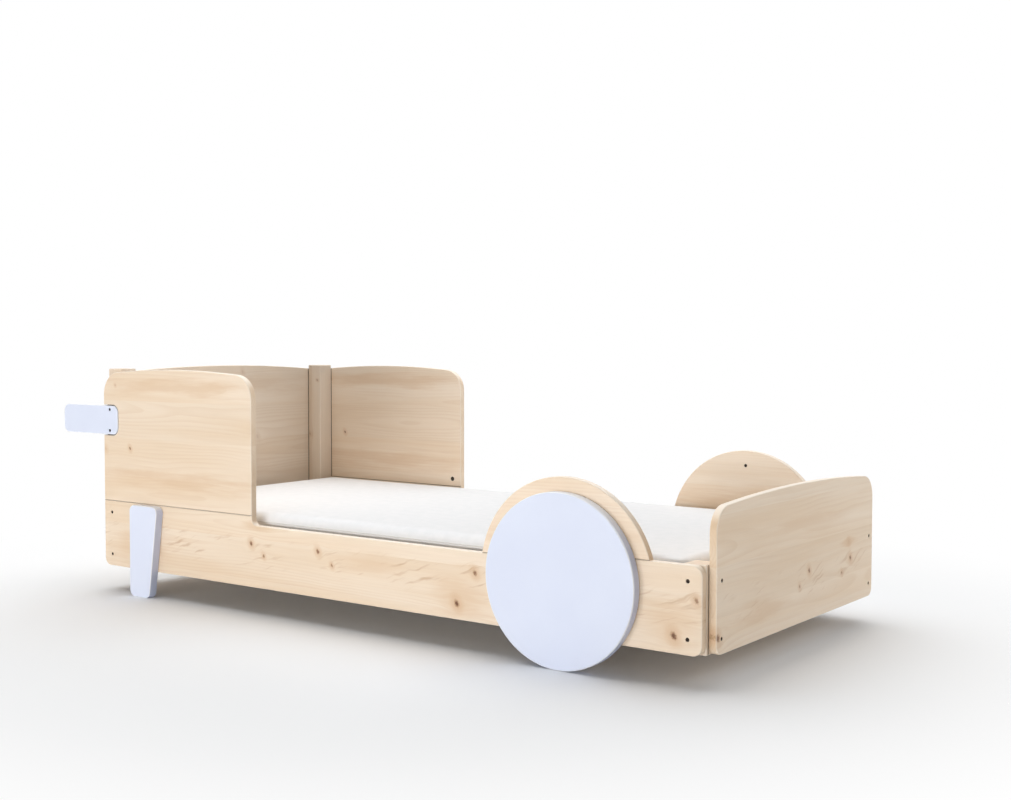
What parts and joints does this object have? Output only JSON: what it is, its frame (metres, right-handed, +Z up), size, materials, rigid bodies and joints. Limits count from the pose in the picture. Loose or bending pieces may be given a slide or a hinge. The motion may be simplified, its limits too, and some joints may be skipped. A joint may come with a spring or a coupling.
{
  "type": "low toddler bed",
  "caption": "Low floor bed shaped like a wheelbarrow: pine side boards with head guards, disc wheels, tapered legs, handles, slats and a lift-out mattress.",
  "frame": {"origin": "on the floor, under the middle of the bed's box from the handles' ends to the foot panel", "axes": "+X from the head end to the foot end, +Y to the sleeper's left, +Z up"},
  "size_m": [2.378, 1.056, 0.711],
  "materials": {
    "pine_board": "satin clear varnish",
    "lavender_lacquer": "matt lacquer",
    "slat_pine": "planed, bare",
    "dowel_beech": "bare",
    "screw_steel": "black zinc",
    "cam_zinc": "dark cast zinc",
    "mattress_cover": "white jersey"
  },
  "bodies": {
    "bed_frame": {"side_rail_right": "pine_board", "side_rail_left": "pine_board", "head_guard_right": "pine_board", "head_guard_left": "pine_board", "head_post_right": "pine_board", "head_post_left": "pine_board", "foot_post_right": "pine_board", "foot_post_left": "pine_board", "mudguard_right": "pine_board", "mudguard_left": "pine_board", "head_panel": "pine_board", "foot_panel": "pine_board", "wheel_right": "lavender_lacquer", "wheel_left": "lavender_lacquer", "leg_right": "lavender_lacquer", "leg_left": "lavender_lacquer", "handle_right": "lavender_lacquer", "handle_left": "lavender_lacquer", "slat_01": "slat_pine", "slat_02": "slat_pine", "slat_03": "slat_pine", "slat_04": "slat_pine", "slat_05": "slat_pine", "slat_06": "slat_pine", "slat_07": "slat_pine", "slat_08": "slat_pine", "slat_09": "slat_pine", "slat_10": "slat_pine", "slat_11": "slat_pine", "slat_12": "slat_pine", "slat_13": "slat_pine", "slat_14": "slat_pine", "slat_15": "slat_pine", "slat_ledger_right": "slat_pine", "slat_ledger_left": "slat_pine", "rail_screws": "screw_steel", "handle_screws": "screw_steel", "wheel_screws": "screw_steel", "leg_screws": "screw_steel", "head_panel_screws": "screw_steel", "foot_panel_screws": "screw_steel", "ledger_screws": "screw_steel", "slat_screws": "screw_steel", "guard_cam_pins": "screw_steel", "guard_cams": "cam_zinc", "guard_dowels": "dowel_beech", "mudguard_dowels": "dowel_beech", "post_dowels": "dowel_beech"},
    "mattress": {"mattress": "mattress_cover"}
  },
  "joints": [
    {"name": "mattress_lift", "type": "slide", "parent": "bed_frame", "child": "mattress", "axis": [0, 0, 1], "range_m": [0, 0.57]}
  ]
}
